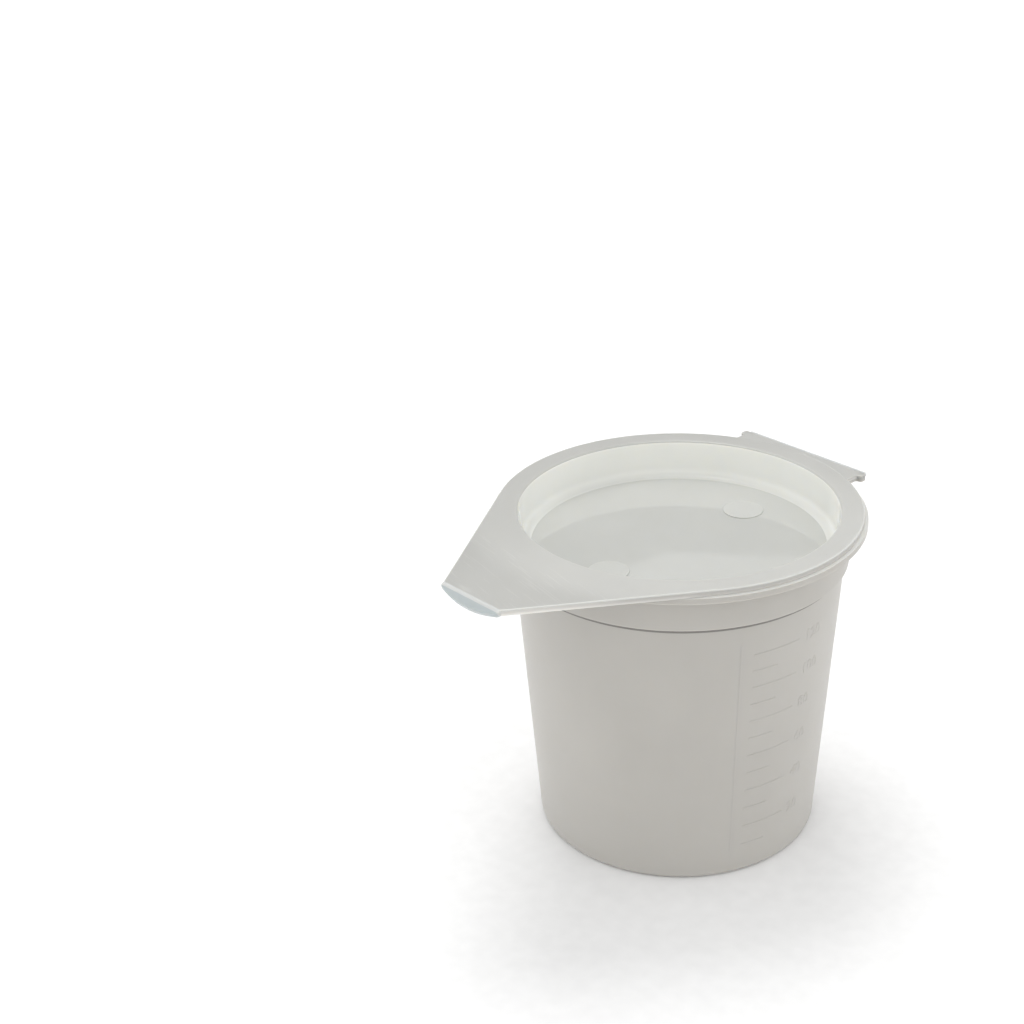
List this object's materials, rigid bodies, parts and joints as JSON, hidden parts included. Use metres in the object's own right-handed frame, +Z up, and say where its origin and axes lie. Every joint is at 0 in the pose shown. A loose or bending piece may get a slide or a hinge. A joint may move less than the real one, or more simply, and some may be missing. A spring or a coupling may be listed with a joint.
{
  "type": "graduated urine specimen beaker with attached snap lid",
  "caption": "Tapered translucent beaker with graduations, rim flange and collar; a drop-shaped plug lid with a pull tab swings on a film hinge and snaps into the mouth.",
  "frame": {"origin": "centre of the foot ring, on the surface that the beaker stands on", "axes": "+Z up along the cup's axis; +Y from the axis to the film hinge, so -Y points to the pull tab; +X is the side with the graduations. The lid is closed."},
  "size_m": [0.071, 0.0915, 0.0662],
  "materials": {
    "cup_polypropylene": "translucent natural polypropylene, satin",
    "film_polypropylene": "thin, nearly clear polypropylene",
    "lid_polypropylene": "translucent natural polypropylene, polished floor of the well"
  },
  "bodies": {
    "cup": {"cup": "cup_polypropylene", "hinge_film": "film_polypropylene"},
    "lid": {"lid": "lid_polypropylene"}
  },
  "joints": [
    {"name": "lid_hinge", "type": "hinge", "parent": "cup", "child": "lid", "pos_m": [0, 0.0377, 0.06507], "axis": [-1, 0, 0], "range_deg": [0, 195], "deforming": ["hinge_film"]}
  ]
}
